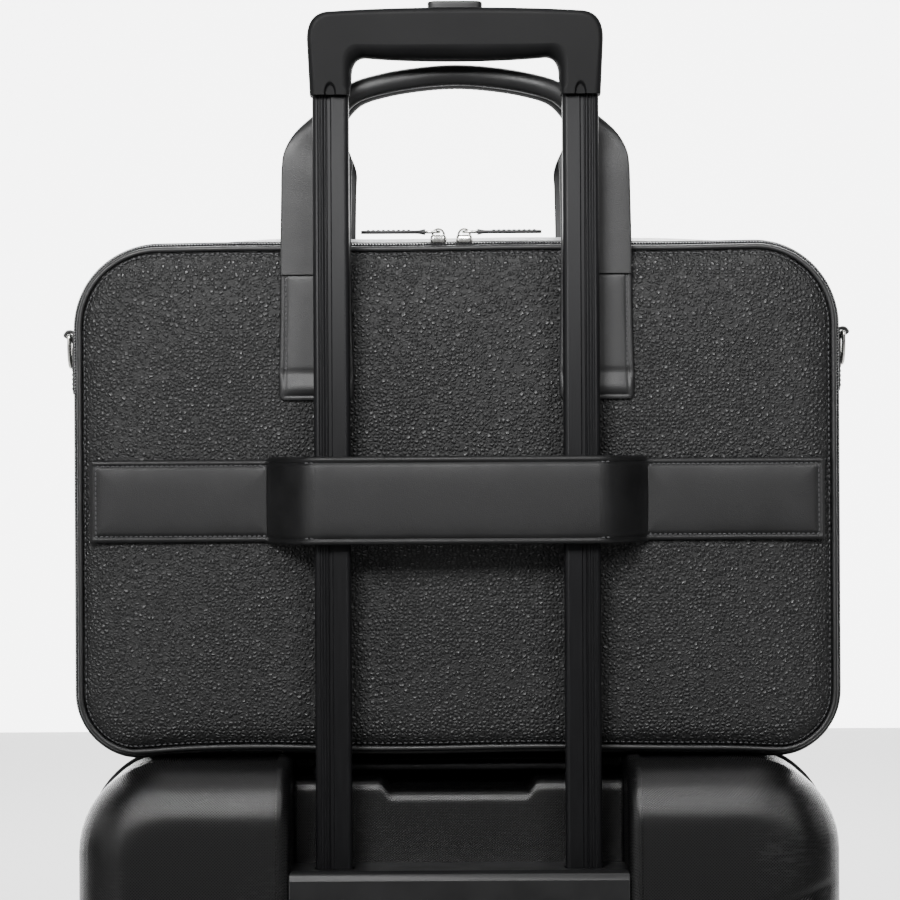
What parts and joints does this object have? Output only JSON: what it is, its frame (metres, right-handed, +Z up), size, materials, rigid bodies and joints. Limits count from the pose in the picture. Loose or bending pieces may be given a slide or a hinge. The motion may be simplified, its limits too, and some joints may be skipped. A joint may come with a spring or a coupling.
{
  "type": "rolling laptop case",
  "caption": "Black leather laptop bag strapped to the telescopic handle of a hard-shell wheeled cabin case that opens like a book.",
  "frame": {"origin": "on the floor, under the middle of the case", "axes": "+Z up; -Y is the side with the telescopic handle, which the bag's band faces; +X is to the right seen from that side"},
  "size_m": [0.4322, 0.22, 0.971],
  "materials": {
    "shell": "satin black hard shell with a fine diamond texture",
    "trim": "fine spark-eroded black plastic",
    "anodised": "black anodised extrusion",
    "sleeve": "mill finish tube",
    "leather_grain": "pebbled black leather",
    "leather_smooth": "smooth black leather",
    "zip": "black coil zip on woven tape",
    "nickel": "polished nickel plate",
    "tyre": "matte black tread",
    "padding": "lining cloth over foam"
  },
  "bodies": {
    "case_back": {"back_shell": "shell", "case_zip_back": "zip", "handle_bezel": "trim", "outer_tube_left": "sleeve", "outer_tube_right": "sleeve", "tube_foot": "trim", "case_top_handle": "trim", "case_side_handle": "trim", "caster_housing_back_left": "trim", "caster_housing_back_right": "trim"},
    "case_front": {"front_shell": "shell", "case_zip_front": "zip", "caster_housing_front_left": "trim", "caster_housing_front_right": "trim"},
    "case_slider_upper": {"case_slider_upper": "nickel"},
    "case_slider_lower": {"case_slider_lower": "nickel"},
    "trolley": {"sliding_tube_left": "anodised", "sliding_tube_right": "anodised", "grip_back_cover": "trim", "grip_front_cover": "trim"},
    "release_button": {"release_button": "trim", "push_rod_left": "nickel", "push_rod_right": "nickel"},
    "bag": {"back_panel": "leather_grain", "rear_piping": "leather_grain", "rear_zip": "zip", "gusset": "leather_grain", "front_zip": "zip", "laptop_divider": "padding", "trolley_strap": "leather_smooth", "strap_patch_left": "leather_smooth", "strap_patch_right": "leather_smooth", "rear_tab_left": "leather_smooth", "rear_tab_right": "leather_smooth", "ring_chape_left": "leather_smooth", "ring_chape_right": "leather_smooth"},
    "bag_front": {"front_panel": "leather_grain", "front_piping": "leather_grain", "front_tab_left": "leather_smooth", "front_tab_right": "leather_smooth"},
    "rear_bag_handle": {"rear_bag_handle": "leather_smooth"},
    "front_bag_handle": {"front_bag_handle": "leather_smooth"},
    "fork_back_left": {"caster_fork_back_left": "trim"},
    "wheel_back_left": {"wheel_back_left": "tyre"},
    "fork_back_right": {"caster_fork_back_right": "trim"},
    "wheel_back_right": {"wheel_back_right": "tyre"},
    "fork_front_left": {"caster_fork_front_left": "trim"},
    "wheel_front_left": {"wheel_front_left": "tyre"},
    "fork_front_right": {"caster_fork_front_right": "trim"},
    "wheel_front_right": {"wheel_front_right": "tyre"},
    "d_ring_left": {"d_ring_left": "nickel"},
    "zip_slider_left": {"zip_slider_left": "nickel"},
    "zip_pull_left": {"zip_pull_left": "nickel", "pull_tab_left": "leather_smooth"},
    "d_ring_right": {"d_ring_right": "nickel"},
    "zip_slider_right": {"zip_slider_right": "nickel"},
    "zip_pull_right": {"zip_pull_right": "nickel", "pull_tab_right": "leather_smooth"}
  },
  "joints": [
    {"name": "trolley_slide", "type": "slide", "parent": "case_back", "child": "trolley", "axis": [0, 0, 1], "range_m": [-0.412, 0]},
    {"name": "release_button_press", "type": "slide", "parent": "trolley", "child": "release_button", "axis": [0, 0, 1], "range_m": [-0.004, 0], "stiffness_N_per_m": 800},
    {"name": "case_opening", "type": "hinge", "parent": "case_back", "child": "case_front", "pos_m": [0.206, 0, 0.3], "axis": [0, 0, 1], "range_deg": [-170, 0]},
    {"name": "case_slider_upper_slide", "type": "slide", "parent": "case_back", "child": "case_slider_upper", "axis": [0, 0, 1], "range_m": [0, 0.13]},
    {"name": "case_slider_lower_slide", "type": "slide", "parent": "case_back", "child": "case_slider_lower", "axis": [0, 0, 1], "range_m": [-0.13, 0]},
    {"name": "swivel_back_left", "type": "hinge", "parent": "case_back", "child": "fork_back_left", "pos_m": [-0.15, -0.07, 0.042], "axis": [0, 0, 1], "continuous": true},
    {"name": "roll_back_left", "type": "hinge", "parent": "fork_back_left", "child": "wheel_back_left", "pos_m": [-0.15, -0.058, 0.02], "axis": [1, 0, 0], "continuous": true},
    {"name": "swivel_back_right", "type": "hinge", "parent": "case_back", "child": "fork_back_right", "pos_m": [0.15, -0.07, 0.042], "axis": [0, 0, 1], "continuous": true},
    {"name": "roll_back_right", "type": "hinge", "parent": "fork_back_right", "child": "wheel_back_right", "pos_m": [0.15, -0.058, 0.02], "axis": [1, 0, 0], "continuous": true},
    {"name": "swivel_front_left", "type": "hinge", "parent": "case_front", "child": "fork_front_left", "pos_m": [-0.15, 0.07, 0.042], "axis": [0, 0, 1], "continuous": true},
    {"name": "roll_front_left", "type": "hinge", "parent": "fork_front_left", "child": "wheel_front_left", "pos_m": [-0.15, 0.082, 0.02], "axis": [1, 0, 0], "continuous": true},
    {"name": "swivel_front_right", "type": "hinge", "parent": "case_front", "child": "fork_front_right", "pos_m": [0.15, 0.07, 0.042], "axis": [0, 0, 1], "continuous": true},
    {"name": "roll_front_right", "type": "hinge", "parent": "fork_front_right", "child": "wheel_front_right", "pos_m": [0.15, 0.082, 0.02], "axis": [1, 0, 0], "continuous": true},
    {"name": "bag_lift", "type": "slide", "parent": "case_back", "child": "bag", "axis": [0, 0, 1], "range_m": [0, 0.3]},
    {"name": "bag_front_opening", "type": "hinge", "parent": "bag", "child": "bag_front", "pos_m": [0, 0.032, 0.566], "axis": [1, 0, 0], "range_deg": [-45, 0]},
    {"name": "rear_handle_fold", "type": "hinge", "parent": "bag", "child": "rear_bag_handle", "pos_m": [0, -0.0725, 0.848], "axis": [1, 0, 0], "range_deg": [-22, 0]},
    {"name": "front_handle_fold", "type": "hinge", "parent": "bag_front", "child": "front_bag_handle", "pos_m": [0, 0.0356, 0.831], "axis": [1, 0, 0], "range_deg": [-165, 0]},
    {"name": "d_ring_left_swing", "type": "hinge", "parent": "bag", "child": "d_ring_left", "pos_m": [-0.2127, -0.02, 0.795], "axis": [0, 1, 0], "range_deg": [0, 150]},
    {"name": "zip_slider_left_slide", "type": "slide", "parent": "bag", "child": "zip_slider_left", "axis": [-1, 0, 0], "range_m": [0, 0.11]},
    {"name": "zip_pull_left_swing", "type": "hinge", "parent": "zip_slider_left", "child": "zip_pull_left", "pos_m": [-0.0095, -0.058, 0.8495], "axis": [0, 1, 0], "range_deg": [0, 95]},
    {"name": "d_ring_right_swing", "type": "hinge", "parent": "bag", "child": "d_ring_right", "pos_m": [0.2127, -0.02, 0.795], "axis": [0, 1, 0], "range_deg": [-150, 0]},
    {"name": "zip_slider_right_slide", "type": "slide", "parent": "bag", "child": "zip_slider_right", "axis": [1, 0, 0], "range_m": [0, 0.11]},
    {"name": "zip_pull_right_swing", "type": "hinge", "parent": "zip_slider_right", "child": "zip_pull_right", "pos_m": [0.0045, -0.058, 0.8495], "axis": [0, 1, 0], "range_deg": [-95, 0]}
  ]
}
